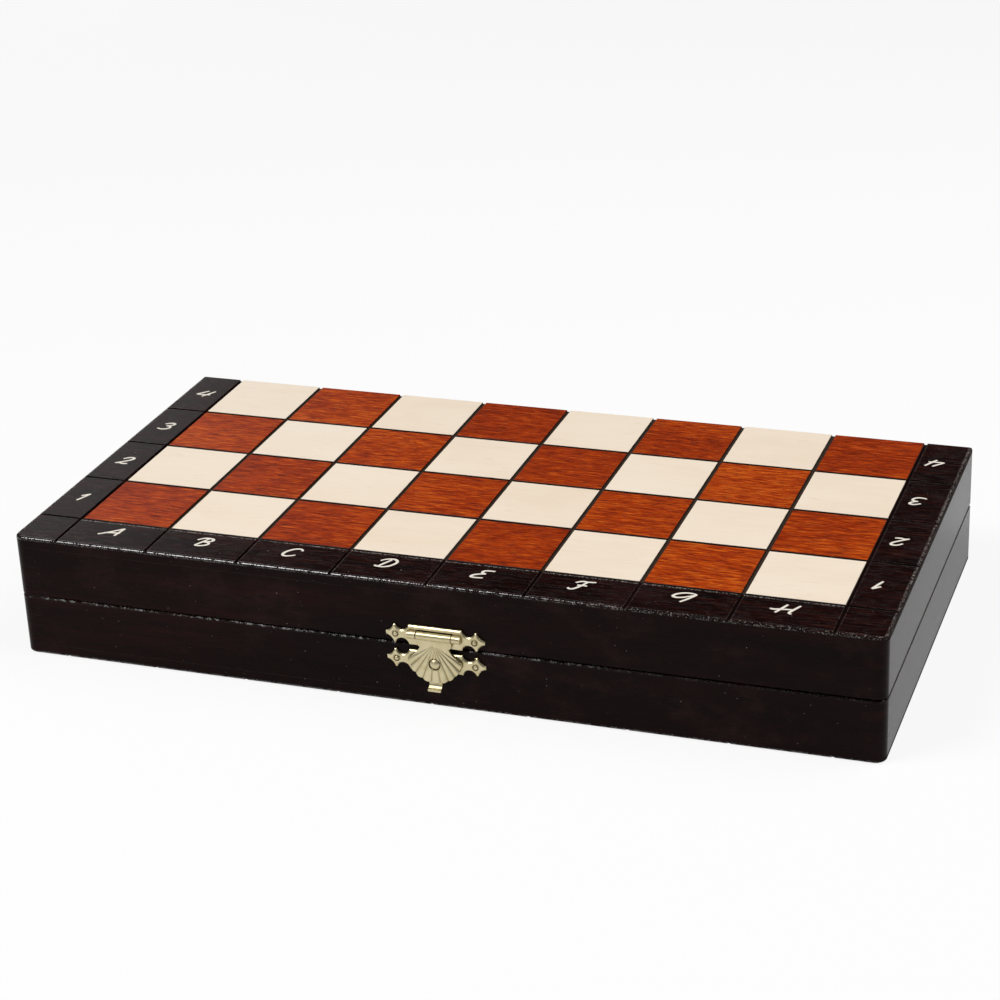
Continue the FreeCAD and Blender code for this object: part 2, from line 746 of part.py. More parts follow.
def rim_corner(index):
    """Point of the shell's rim at a boundary between flutes."""
    swing = flute_swing(index)
    lift = "(fan_apex_rise + shell_centre_drop)"
    reach = f"({lift} * cos({swing}) + sqrt(shell_radius^2 - ({lift} * sin({swing}))^2))"
    return f"latch_offset + {reach} * sin({swing})", f"{SPLIT} + fan_apex_rise - {reach} * cos({swing})"


def hasp_outline():
    """Band below the barrel, a neck, and a shell whose rim is one scallop to each flute."""
    flutes = int(number("flute_count"))
    rim = [(*rim_corner(index), "scallop_rise") for index in range(flutes)]
    rim.append((*rim_corner(flutes), "-shell_side_hollow"))
    right = [
        ("latch_offset + neck_width / 2", f"{SPLIT} + neck_rise", "band_round"),
        ("latch_offset + band_width / 2", f"{SPLIT} + band_end_rise"),
        ("latch_offset + band_width / 2", HASP_AXIS_Z),
    ]
    left = [
        ("latch_offset - band_width / 2", HASP_AXIS_Z),
        ("latch_offset - band_width / 2", f"{SPLIT} + band_end_rise", "band_round"),
        ("latch_offset - neck_width / 2", f"{SPLIT} + neck_rise", "-shell_side_hollow"),
    ]
    return rim + right + left


def make_flutes():
    """Cones that fan out from the apex on the hasp's face, tilted in so that only low ribs stand proud."""
    half_flute = "(fan_half_angle / flute_count)"
    tilt = f"atan((cos(flute_slope) - cos({half_flute})) / sin(flute_slope))"
    spread = f"({tilt} + flute_slope * 1 deg)"
    length = "(fan_apex_rise + shell_centre_drop + shell_radius + cut_overrun)"
    inward = FreeCAD.Rotation(X_AXIS, number(tilt))
    cones = []
    for index in range(int(number("flute_count"))):
        cone = doc.addObject("Part::Cone", "Flute")
        cone.Radius1 = 0
        bind(cone, "Radius2", f"{length} * tan({spread})")
        bind(cone, "Height", length)
        swing = FreeCAD.Rotation(Y_AXIS, -number(flute_swing(index + 0.5)))
        down = FreeCAD.Rotation(X_AXIS, 180)
        place(cone, ("latch_offset", f"{FRONT} - hasp_stand - hasp_thickness", f"{SPLIT} + fan_apex_rise"),
              swing * inward * down)
        cones.append(cone)
    return united(cones)


def make_lip():
    """Finger lip, a quarter round that curls outward below the shell."""
    centre_y = f"({FRONT} - hasp_stand - lip_bend_radius)"
    centre_z = f"({SPLIT} - lip_bend_drop)"
    inner = "(lip_bend_radius - hasp_thickness)"
    profile = free_sketch(("latch_offset - lip_width / 2", "0", "0"),
                          FreeCAD.Rotation(Y_AXIS, Z_AXIS, X_AXIS, "ZXY"))
    add_outline(profile, [
        (centre_y, f"{centre_z} - lip_bend_radius", f"lip_bend_radius * {QUARTER_RISE}"),
        (f"{centre_y} + lip_bend_radius", centre_z),
        (f"{centre_y} + lip_bend_radius", f"{centre_z} + lip_overlap"),
        (f"{centre_y} + {inner}", f"{centre_z} + lip_overlap"),
        (f"{centre_y} + {inner}", centre_z, f"-{inner} * {QUARTER_RISE}"),
        (centre_y, f"{centre_z} - {inner}"),
    ])
    return extruded(profile, "lip_width")


def make_hasp():
    """Hasp with rolled barrel, fluted shell, finger lip and the hole that closes over the stud."""
    upright = FreeCAD.Rotation(X_AXIS, 90)
    outline = free_sketch(("0", f"{FRONT} - hasp_stand", "0"), upright)
    add_outline(outline, hasp_outline())
    blank = extruded(outline, "hasp_thickness")
    envelope = extruded(outline, "hasp_thickness + cut_overrun")
    flutes = doc.addObject("Part::Common", "TrimmedFlutes")
    flutes.Base = envelope
    flutes.Tool = make_flutes()
    barrel = rod(BARREL_RADIUS, "band_width",
                 ("latch_offset - band_width / 2", HASP_AXIS_Y, HASP_AXIS_Z), X_AXIS)
    bore = rod("hasp_pin_diameter / 2 + running_gap", "band_width + 2 * cut_overrun",
               ("latch_offset - band_width / 2 - cut_overrun", HASP_AXIS_Y, HASP_AXIS_Z), X_AXIS)
    hole = rod("stud_diameter / 2 + hasp_hole_gap", "hasp_stand + hasp_thickness + cut_overrun",
               ("latch_offset", FRONT, STUD_Z), -Y_AXIS)
    solid = united([blank, flutes, barrel, make_lip()])
    keep(cut(solid, [bore, hole]), "hasp")


def make_all():
    for tray in TRAYS:
        make_board(tray)
        make_squares(tray, "light", 0)
        make_squares(tray, "dark", 1)
        make_front_rail(tray)
        make_rear_rail(tray)
        make_side_rails(tray)
        make_lining(tray)
        make_hinge_screws(tray)
    for side in HINGE_X:
        for tray in TRAYS:
            make_leaf(side, tray)
        make_hinge_pin(side)
    make_upper_plate()
    make_lower_plate()
    make_nails("upper_latch_nails", f"{SPLIT} + upper_plate_rise")
    make_nails("lower_latch_nails", f"{SPLIT} - lower_plate_drop")
    make_stud()
    make_hasp_pin()
    make_hasp()


def check_and_write():
    """Write each sub-part, once nothing in the document has failed."""
    doc.recompute()
    failed = [item.Name for item in doc.Objects if {"Invalid", "Error"} & set(item.State)]
    failed += [label for label, item in nodes.items() if item.Shape.isNull() or not item.Shape.isValid()]
    if failed:
        raise RuntimeError("failed: " + ", ".join(failed))
    os.makedirs("parts", exist_ok=True)
    for label, item in nodes.items():
        item.Shape.exportStep(f"parts/{label}.step")
        print(label, len(item.Shape.Solids), round(item.Shape.Volume, 2))


make_all()
check_and_write()
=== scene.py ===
import math

import bpy
from mathutils import Matrix, Vector


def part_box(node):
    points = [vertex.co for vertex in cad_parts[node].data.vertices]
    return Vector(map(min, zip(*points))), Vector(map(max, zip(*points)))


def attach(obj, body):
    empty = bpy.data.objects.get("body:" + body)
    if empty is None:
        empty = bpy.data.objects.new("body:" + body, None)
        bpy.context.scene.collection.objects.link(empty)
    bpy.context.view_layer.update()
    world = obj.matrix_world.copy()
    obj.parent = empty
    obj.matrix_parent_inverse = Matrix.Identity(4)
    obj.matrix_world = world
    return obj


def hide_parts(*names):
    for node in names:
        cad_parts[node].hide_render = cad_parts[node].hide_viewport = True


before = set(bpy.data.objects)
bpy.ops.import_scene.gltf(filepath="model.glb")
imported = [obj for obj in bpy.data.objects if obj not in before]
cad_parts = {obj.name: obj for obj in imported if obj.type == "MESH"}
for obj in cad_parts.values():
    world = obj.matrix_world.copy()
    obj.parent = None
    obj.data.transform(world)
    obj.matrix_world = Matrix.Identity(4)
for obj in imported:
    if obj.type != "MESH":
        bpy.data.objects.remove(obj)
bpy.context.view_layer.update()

# Looks of the folding chess board: stained case, veneer squares, painted coordinates, brass latch and hinges,
# felt linings. Everything is in metres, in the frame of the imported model.

MM = 0.001
HALVES = ("upper", "lower")

# Board layout, from the frame and the pitch of the squares
SQUARE = 34.5 * MM
FILES = 8
RANKS = 4
LINE_WIDTH = 1.2 * MM
LINE_DEPTH = 0.6 * MM
BOARD_LOW, BOARD_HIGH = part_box("upper_board")
FRONT, REAR = BOARD_LOW.y, BOARD_HIGH.y
LEFT, RIGHT = BOARD_LOW.x, BOARD_HIGH.x
TOP = BOARD_HIGH.z
FIELD_FRONT = REAR - RANKS * SQUARE
FIELD_LEFT = -FILES / 2 * SQUARE
FIELD_RIGHT = -FIELD_LEFT

# Zones of the case: the distances at which each mask starts and ends
FLAT_DEPTH = (0.2 * MM, 0.4 * MM)
ROUNDED_RIM = (0.6 * MM, 1.3 * MM)
PARTING = (0.5 * MM, 1.1 * MM)
LEFT_PART = (-60 * MM, 100 * MM)
DULL_RIM = (0.6 * MM, 1.0 * MM)
DULL_DEPTH = (1.6 * MM, 2.2 * MM)
# The chipped ends and the specks beside the lines are pale marks that stand for painted glints, with some
# wear
CHIPPED_GLINT_RIM = (1.0 * MM, 1.5 * MM)
CHIPPED_GLINT_DEPTH = (0.15 * MM, 0.35 * MM)
FIELD_END = (-0.5 * MM, 0.5 * MM)
FRONT_LINE_GLINT_AND_SCUFF = (0.2 * MM, 1.2 * MM)
LINE_GLINT_AND_SCUFF = (0.15 * MM, 0.4 * MM)
INNER_LINES = (0.7 * MM, 0.9 * MM)
LINE_BOTTOM = (1.2 * LINE_DEPTH, 1.4 * LINE_DEPTH)
SQUARE_WALL = (0.03 * MM, 0.14 * MM)

# Colours, and ramps of colours from dark to light
STAIN_RAMP = (
    (0.28, (0.0026, 0.0010, 0.0009)),
    (0.48, (0.0080, 0.0019, 0.0015)),
    (0.72, (0.0300, 0.0070, 0.0045)),
)
STAIN_SMUDGE = (0.0250, 0.0092, 0.0086)
STAIN_PORE = (0.0026, 0.0016, 0.0014)
LINE_STAIN = (0.0520, 0.0360, 0.0260)
WALL_STAIN = (0.0190, 0.0120, 0.0085)
# Pale specks on the case's edges: painted glints with some wear, and dust
SCUFF_AND_GLINT = (0.420, 0.380, 0.350)
RED_RAMP = (
    (0.25, (0.125, 0.0095, 0.0009)),
    (0.45, (0.305, 0.0275, 0.0018)),
    (0.58, (0.430, 0.0510, 0.0034)),
    (0.78, (0.680, 0.1450, 0.0120)),
)
RED_PORE = (0.110, 0.0095, 0.0020)
PALE_RAMP = (
    (0.25, (0.845, 0.695, 0.540)),
    (0.50, (0.890, 0.762, 0.616)),
    (0.75, (0.915, 0.800, 0.668)),
)
PALE_FLECK = (0.640, 0.490, 0.330)
BRASS_CLEAN = (0.680, 0.600, 0.385)
BRASS_WORN = (0.575, 0.495, 0.285)
# Colour of the brass in its recesses: painted shade, with some olive tarnish
BRASS_RECESS_SHADE_AND_TARNISH = (0.130, 0.095, 0.035)
PAINT_CREAM = (0.860, 0.800, 0.700)
PAINT_THIN = (0.420, 0.350, 0.280)
FELT_DEEP = (0.006, 0.034, 0.014)
FELT_PILE = (0.032, 0.108, 0.050)
FELT_STRAND = (0.060, 0.165, 0.085)
FLOOR_GREY = (0.90, 0.90, 0.90)
HORIZON = (0.45, 0.45, 0.46)
ZENITH = (0.04, 0.04, 0.041)
WHITE = (1.0, 1.0, 1.0)

# Brush lettering of the border
LETTER_HEIGHT = 6.0 * MM
LETTER_SLANT = 0.28
STROKE_RADIUS = 0.56 * MM
STROKE_END = 0.62
PAINT_FLATNESS = 0.07
FILE_LETTER_SHIFT = -1.5 * MM
FILE_LETTER_INSET = 7.3 * MM
LEFT_NUMBER_INSET = 8.6 * MM
RIGHT_NUMBER_INSET = 10.4 * MM

# Felt
FELT_CELLS = (60, 30)
FELT_THICKNESS = 0.7 * MM
FELT_SWELL = 0.25 * MM
FELT_SWELL_LENGTH = 35 * MM
FELT_EDGE = 0.2 * MM

# Nails: radii and heights, then the steps of the profile from the dome's foot to the point, each with the
# radius that it starts from, the radius that it reaches and its rise
NAIL_HEAD_RADIUS = 0.80 * MM
NAIL_HEAD_HEIGHT = 0.55 * MM
NAIL_GROOVE_RADIUS = 1.05 * MM
NAIL_GROOVE_RISE = 0.01 * MM
NAIL_RIM = 0.16 * MM
NAIL_RIM_SLOPE = 0.06 * MM
NAIL_SEAT_RADIUS = 1.30 * MM
NAIL_SHANK_RADIUS = 0.5 * MM
NAIL_SHANK = 6.5 * MM
NAIL_POINT = 0.6 * MM
NAIL_STEPS = (
    (NAIL_HEAD_RADIUS, NAIL_GROOVE_RADIUS, NAIL_GROOVE_RISE),
    (NAIL_GROOVE_RADIUS, NAIL_GROOVE_RADIUS + NAIL_RIM_SLOPE, NAIL_RIM),
    (NAIL_GROOVE_RADIUS + NAIL_RIM_SLOPE, NAIL_SEAT_RADIUS - NAIL_RIM_SLOPE, 0.0),
    (NAIL_SEAT_RADIUS - NAIL_RIM_SLOPE, NAIL_SEAT_RADIUS, -NAIL_RIM - NAIL_GROOVE_RISE),
    (NAIL_SEAT_RADIUS, NAIL_SHANK_RADIUS, 0.0),
    (NAIL_SHANK_RADIUS, NAIL_SHANK_RADIUS, -NAIL_SHANK),
    (NAIL_SHANK_RADIUS, NAIL_SHANK_RADIUS, -NAIL_POINT),
)
NAIL_FIRST_TURN = 0.4
NAIL_TURN_STEP = 1.0
NAIL_CREASE = math.radians(40)

# Screws
SCREW_HEAD_RADIUS = 1.5 * MM
SCREW_HEAD_DEPTH = 0.9 * MM
SCREW_HEAD_BEVEL = 0.08 * MM
SCREW_SHANK_RADIUS = 0.8 * MM
SCREW_SHANK = 4.6 * MM
SCREW_POINT = 1.5 * MM
SLOT_WIDTH = 0.45 * MM
SLOT_DEPTH = 0.4 * MM
SCREW_SPACING = 16 * MM
SCREW_FIRST_TURN = 0.5
SCREW_TURN_STEP = 1.1
SCREW_CREASE = math.radians(35)

# Stage. FLOOR_GLOW is the white share of the floor's look to the camera, and FLOOR_MIRRORED the part of it
# that reflections show. The heights are those of a direction: 0 at the horizon, 1 at the zenith.
FLOOR_SIZE = 12
FLOOR_DROP = 0.2 * MM
FLOOR_GLOW = 0.86
FLOOR_MIRRORED = 0.5
DOME_HEIGHT = 0.25
BACKDROP_HEIGHT = 0.10

# Lamps: place, size, power and turn about their own axis in degrees
LAMPS = {
    "key": ((-0.68, -0.65, 1.25), 0.6, 15, 0),
    "fill": ((0.85, 0.15, 1.20), 1.1, 14, 0),
    "rear_left": ((-0.81, 0.955, 0.33), 0.5, 0.74, 45),
}

# Camera
CAMERA_AIM = Vector((-0.98, 0, 41.93)) * MM
CAMERA_AZIMUTH = math.radians(20.12)
CAMERA_ELEVATION = math.radians(24.05)
CAMERA_ROLL = math.radians(-2.49)
CAMERA_DISTANCE = 912.2 * MM
CAMERA_LENS = 91.43
CAMERA_SENSOR = 36
CAMERA_CLIP = 0.01


# Shader maths

# Places of the colour sockets on a Mix node
MIX_FIRST, MIX_SECOND, MIX_RESULT = 6, 7, 2


class Signal:
    """An output in a shader tree, which adds, multiplies and compares like a number."""

    def __init__(self, tree, socket=None):
        self.tree = tree
        self.socket = socket

    def add(self, kind, settings=None, inputs=None, output=0):
        """New node: its settings come first, then its sockets, linked to a signal or set to a value."""
        node = self.tree.nodes.new(f"ShaderNode{kind}")
        for name, value in (settings or {}).items():
            if name == "stops":
                set_stops(node.color_ramp, value)
            else:
                setattr(node, name, value)
        for key, value in (inputs or {}).items():
            if isinstance(value, Signal):
                self.tree.links.new(value.socket, node.inputs[key])
            else:
                node.inputs[key].default_value = value
        return Signal(self.tree, node.outputs[output] if node.outputs else None)

    def math(self, operation, first, second=0.0):
        return self.add("Math", {"operation": operation}, {0: first, 1: second})

    def __add__(self, other):
        return self.math("ADD", self, other)

    def __radd__(self, other):
        return self.math("ADD", other, self)

    def __sub__(self, other):
        return self.math("SUBTRACT", self, other)

    def __rsub__(self, other):
        return self.math("SUBTRACT", other, self)

    def __mul__(self, other):
        return self.math("MULTIPLY", self, other)

    def __rmul__(self, other):
        return self.math("MULTIPLY", other, self)

    def __truediv__(self, other):
        return self.math("DIVIDE", self, other)

    def __abs__(self):
        return self.math("ABSOLUTE", self)

    def floor(self):
        return self.math("FLOOR", self)

    def least(self, other):
        return self.math("MINIMUM", self, other)

    def most(self, other):
        return self.math("MAXIMUM", self, other)

    def rise(self, low, high):
        """0 below low, 1 above high, with a soft step between."""
        return self.add("MapRange", {"interpolation_type": "SMOOTHSTEP"},
                        {"Value": self, "From Min": low, "From Max": high})

    def fall(self, low, high):
        """1 below low, 0 above high, with a soft step between."""
        return 1 - self.rise(low, high)

    def parts(self):
        """X, Y and Z of a vector."""
        return [self.add("SeparateXYZ", inputs={0: self}, output=axis) for axis in range(3)]

    def noise(self, scale, detail, roughness, shift=(0, 0, 0)):
        """Noise at this place, in cells per metre along each axis."""
        spot = self.add("Mapping", inputs={"Vector": self, "Location": shift, "Scale": scale})
        return self.add("TexNoise", inputs={
            "Vector": spot, "Scale": 1.0, "Detail": detail, "Roughness": roughness,
        })

    def ramp(self, stops):
        """Colour between stops, each a position and a colour."""
        return self.add("ValToRGB", {"stops": stops}, {0: self})


def set_stops(ramp, stops):
    while len(ramp.elements) < len(stops):
        ramp.elements.new(0.5)
    for element, (position, colour) in zip(ramp.elements, stops):
        element.position = position
        element.color = (*colour, 1)


def mix(factor, first, second):
    """Colour between two colours."""
    inputs = {0: factor}
    for key, colour in ((MIX_FIRST, first), (MIX_SECOND, second)):
        inputs[key] = colour if isinstance(colour, Signal) else (*colour, 1)
    return factor.add("Mix", {"data_type": "RGBA"}, inputs, MIX_RESULT)


def new_finish(name):
    """An empty material and the start of its shader tree."""
    finish = bpy.data.materials.new(name)
    finish.use_nodes = True
    finish.node_tree.nodes.clear()
    return finish, Signal(finish.node_tree)


def close_finish(paint, values):
    """The surface shader and the material's output."""
    surface = paint.add("BsdfPrincipled", inputs=values)
    paint.add("OutputMaterial", inputs={"Surface": surface})


def eased(paint, radius, height, distance):
    """Normal with edges softened to a radius, and relief from a height signal."""
    edges = paint.add("Bevel", {"samples": 4}, {"Radius": radius}, "Normal")
    return paint.add("Bump", inputs={"Height": height, "Distance": distance, "Normal": edges})


# Finishes

def beside_line(place):
    """Distance to the nearest edge of a milled line, for a place that is counted in squares."""
    shifted = place + 0.5
    return abs(abs(shifted - shifted.floor() - 0.5) * SQUARE - LINE_WIDTH / 2)


def case_zones(spot):
    """Masks from 0 to 1 of the case's zones.

    flat: the plane of the playing faces; rounding: the outer edges; parting: where the halves meet;
    leftward: the left part of the case; dull_end: edges and rims at its two ends; chipped_and_glinting_end:
    the same ends, for painted glints with some wear;
    scuffs_and_glints: edges of the milled lines, for painted glints with some wear; line: bottoms of the
    lines between the squares.
    """
    x, y, z = spot.parts()
    end_rim = (x - LEFT).least(RIGHT - x)
    rim = end_rim.least(y - FRONT)
    depth = z.least(TOP - z)
    beside_column = beside_line((x - FIELD_LEFT) / SQUARE)
    beside_rank = beside_line((y - FIELD_FRONT) / SQUARE)
    beside_front_line = abs(y - FIELD_FRONT) - LINE_WIDTH / 2
    between_ends = (x - FIELD_LEFT).least(FIELD_RIGHT - x)
    in_field = between_ends.least(y - FIELD_FRONT)
    flat = depth.fall(*FLAT_DEPTH)
    # Pale specks beside the milled lines: painted glints, with some wear
    front_line_glints_and_scuffs = between_ends.rise(*FIELD_END) * beside_front_line.fall(*FRONT_LINE_GLINT_AND_SCUFF)
    line_glints_and_scuffs = 0.15 * beside_column.least(beside_rank).fall(*LINE_GLINT_AND_SCUFF)
    return {
        "flat": flat,
        "rounding": rim.fall(*ROUNDED_RIM) * depth.fall(*ROUNDED_RIM),
        "parting": abs(z - TOP / 2).fall(*PARTING),
        "leftward": x.fall(*LEFT_PART),
        "dull_end": end_rim.fall(*DULL_RIM) * depth.fall(*DULL_DEPTH),
        "chipped_and_glinting_end": end_rim.fall(*CHIPPED_GLINT_RIM) * depth.fall(*CHIPPED_GLINT_DEPTH),
        "scuffs_and_glints": flat * line_glints_and_scuffs.most(front_line_glints_and_scuffs),
        "line": depth.fall(*LINE_BOTTOM) * in_field.rise(*INNER_LINES) * (1 - flat),
    }


def grain_scale(along, lengthwise, crosswise):
    """Cells per metre on the three axes, stretched along the grain."""
    return [lengthwise if axis == along else crosswise for axis in "xyz"]


def stained_wood(name, along):
    """Nearly black stain under lacquer, with the grain along one axis and broken gloss on the edges, where
    pale specks are painted glints with some wear.
    """
    finish, paint = new_finish(name)
    spot = paint.add("TexCoord", output="Object")
    bands = spot.noise(grain_scale(along, 9, 110), 4.0, 0.6)
    fibres = spot.noise(grain_scale(along, 100, 1100), 3.0, 0.65)
    pores = spot.noise(grain_scale(along, 160, 2600), 1.0, 0.5).rise(0.58, 0.68)
    patches = spot.noise((26, 26, 40), 5.0, 0.7).rise(0.48, 0.72)
    grains = spot.noise((2100, 2100, 2100), 2.0, 0.6)
    breaks = spot.noise((420, 420, 420), 2.0, 0.6)
    chips = spot.noise((1000, 1000, 1000), 1.0, 0.6, (3, 5, 7))
    sparkle = grains * 0.45 + breaks * 0.55
    specks = grains * 0.8 + chips * 0.2
    zone = case_zones(spot)
    fibre_weight = 0.15 + zone["flat"] * 1.15
    # The faces off the playing plane take a slightly darker tone than the flat faces: painted shade on the
    # sides
    tone = 0.45 + zone["flat"] * 0.03 + (bands - 0.5) * 0.45 + (fibres - 0.5) * fibre_weight
    stain = tone.ramp(STAIN_RAMP)
    stain = mix(patches * 0.65, stain, STAIN_SMUDGE)
    stain = mix(pores * 0.6, stain, STAIN_PORE)
    stain = mix(zone["line"] * 0.8, stain, LINE_STAIN)
    # Pale specks beside the milled lines, on the end rims and along the rounded edges: painted glints with
    # some wear. The sparse specks everywhere are dust.
    worn_and_glinting = (zone["scuffs_and_glints"] * 0.65).most(zone["chipped_and_glinting_end"] * 0.35) * specks.rise(0.49, 0.59)
    rim_glints_and_chips = zone["rounding"] * specks.rise(0.57, 0.63) * 0.45
    dust = chips.rise(0.78, 0.84) * 0.5
    stain = mix(worn_and_glinting + rim_glints_and_chips + dust, stain, SCUFF_AND_GLINT)
    roughened = 0.10 + (zone["rounding"] + zone["parting"]) * 0.7
    relief = grains * roughened + fibres * 0.06 - pores * 0.06
    glints = (sparkle + zone["leftward"] * 0.035).rise(0.485, 0.545)
    edge_gloss = zone["rounding"] * (1 - zone["dull_end"]) * glints
    parting_gloss = zone["parting"] * sparkle.rise(0.50, 0.60) * 0.2
    close_finish(paint, {
        "Base Color": stain,
        "Roughness": 0.13 + grains * 0.08 + zone["dull_end"] * 0.6,
        "Specular IOR Level": 0.06,
        "Coat Weight": edge_gloss + parting_gloss,
        "Coat Roughness": 0.13,
        "Coat IOR": 1.7,
        "Normal": eased(paint, 0.25 * MM, relief, 0.35 * MM),
    })
    return finish


def veneer_cell(spot):
    """A chance for each square, the place shifted by it, and a mask of the squares' walls."""
    x, y, z = spot.parts()
    column = ((x - FIELD_LEFT) / SQUARE).floor()
    rank = ((y - FIELD_FRONT) / SQUARE).floor()
    half = z.rise(0.49 * TOP, 0.51 * TOP)
    index = spot.add("CombineXYZ", inputs={0: column + 0.5, 1: rank + 0.5, 2: half})
    chance = spot.add("TexWhiteNoise", {"noise_dimensions": "3D"}, {"Vector": index}, "Value")
    shift = spot.add("CombineXYZ", inputs={0: chance * 7.0, 1: chance * 3.0, 2: chance * 5.0})
    moved = spot.add("VectorMath", {"operation": "ADD"}, {0: spot, 1: shift})
    wall = z.least(TOP - z).rise(*SQUARE_WALL)
    return chance, moved, wall


def red_veneer():
    """Red-brown veneer with streaky figure along X, dark pores and its own tone on each square."""
    finish, paint = new_finish("red_veneer_lacquered")
    spot = paint.add("TexCoord", output="Object")
    chance, moved, wall = veneer_cell(spot)
    flame = moved.noise((16, 45, 40), 2.0, 0.5)
    streaks = moved.noise((50, 520, 200), 3.0, 0.6)
    fibres = moved.noise((140, 1500, 500), 4.0, 0.78)
    pores = moved.noise((180, 2200, 600), 1.0, 0.55).rise(0.55, 0.66)
    figure = (flame - 0.5) * 0.28 + (streaks - 0.5) * 0.12 + (fibres - 0.5) * 1.65
    tone = 0.5 + figure + (chance - 0.5) * 0.11
    colour = mix(pores * 0.7, tone.ramp(RED_RAMP), RED_PORE)
    colour = mix(wall, colour, WALL_STAIN)
    close_finish(paint, {
        "Base Color": colour,
        "Roughness": 0.30 + fibres * 0.14,
        "Specular IOR Level": 0.055,
        "Normal": eased(paint, 0.12 * MM, fibres * 0.4 - pores * 0.6, 0.04 * MM),
    })
    return finish


def pale_veneer():
    """Cream veneer, nearly without figure."""
    finish, paint = new_finish("pale_veneer_lacquered")
    spot = paint.add("TexCoord", output="Object")
    chance, moved, wall = veneer_cell(spot)
    clouds = moved.noise((20, 45, 30), 3.0, 0.55)
    streaks = moved.noise((40, 700, 150), 3.0, 0.55)
    flecks = moved.noise((120, 1500, 300), 1.0, 0.5).rise(0.66, 0.78)
    tone = clouds * 0.6 + streaks * 0.25 + chance * 0.15
    colour = mix(flecks * 0.35, tone.ramp(PALE_RAMP), PALE_FLECK)
    colour = mix(wall, colour, WALL_STAIN)
    close_finish(paint, {
        "Base Color": colour,
        "Roughness": 0.40 + streaks * 0.12,
        "Specular IOR Level": 0.06,
        "Normal": eased(paint, 0.12 * MM, streaks, 0.02 * MM),
    })
    return finish


def brass(name, dullness):
    """Pale brass, bright on its edges, darkened in its recesses by ambient occlusion: painted shade, with
    some olive tarnish.
    """
    finish, paint = new_finish(name)
    spot = paint.add("TexCoord", output="Object")
    wear = spot.noise((240, 240, 240), 4.0, 0.6)
    scratches = spot.noise((900, 5200, 5200), 2.0, 0.6)
    open_air = paint.add("AmbientOcclusion", {"samples": 6}, {"Distance": 0.9 * MM}, "AO")
    # Ambient occlusion darkens the colour in creases, flutes and around the nails: painted shade, with some
    # olive tarnish
    recess_shade_and_tarnish = open_air.fall(0.35, 0.95)
    colour = mix(wear.rise(0.35, 0.75), BRASS_CLEAN, BRASS_WORN)
    colour = mix(recess_shade_and_tarnish * 0.85, colour, BRASS_RECESS_SHADE_AND_TARNISH)
    close_finish(paint, {
        "Base Color": colour,
        "Metallic": 1.0,
        "Roughness": dullness + wear * 0.16 + recess_shade_and_tarnish * 0.2,
        "Normal": eased(paint, 0.16 * MM, scratches * 0.5 + wear * 0.5, 0.03 * MM),
    })
    return finish


def lettering_paint():
    """Cream brush paint, thin in places."""
    finish, paint = new_finish("cream_brush_paint")
    spot = paint.add("TexCoord", output="Object")
    thin = spot.noise((900, 900, 900), 3.0, 0.6).rise(0.56, 0.72)
    close_finish(paint, {
        "Base Color": mix(thin * 0.35, PAINT_CREAM, PAINT_THIN),
        "Roughness": 0.5 + thin * 0.2,
        "Specular IOR Level": 0.3,
    })
    return finish


def felt():
    """Green felt with matted fibres, paler strands and an uneven nap."""
    finish, paint = new_finish("green_felt")
    spot = paint.add("TexCoord", output="Object")
    nap = spot.noise((34, 34, 34), 4.0, 0.65)
    mat = spot.noise((260, 260, 260), 4.0, 0.7)
    fuzz = spot.noise((2600, 2600, 2600), 3.0, 0.7)
    strands_along = spot.noise((380, 2400, 400), 2.0, 0.6)
    strands_across = spot.noise((2400, 380, 400), 2.0, 0.6, (2, 3, 5))
    strands = strands_along.most(strands_across)
    pile = nap * 0.2 + mat * 0.4 + fuzz * 0.4
    colour = mix(pile.rise(0.32, 0.68), FELT_DEEP, FELT_PILE)
    colour = mix(strands.rise(0.58, 0.72) * 0.6, colour, FELT_STRAND)
    relief = fuzz * 0.5 + strands * 0.5 + mat * 0.3
    close_finish(paint, {
        "Base Color": colour,
        "Roughness": 0.95,
        "Specular IOR Level": 0.1,
        "Sheen Weight": 0.2,
        "Normal": paint.add("Bump", inputs={"Height": relief, "Distance": 0.3 * MM}),
    })
    return finish


# Modelling helpers

def choose(*pieces):
    """Select these objects alone and make the last one active."""
    bpy.ops.object.select_all(action="DESELECT")
    for piece in pieces:
        piece.select_set(True)
    bpy.context.view_layer.objects.active = pieces[-1]


def settle(piece, name, finish, body):
    """Put a finished piece's place into its mesh, name it, paint it and let it ride on its body."""
    choose(piece)
    bpy.ops.object.transform_apply(location=True, rotation=True, scale=True)
    piece.name = name
    piece.data.name = name
    piece.data.materials.clear()
    piece.data.materials.append(finish)
    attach(piece, body)
    return piece


# Painted coordinates: the strokes of each sign, one letter height tall

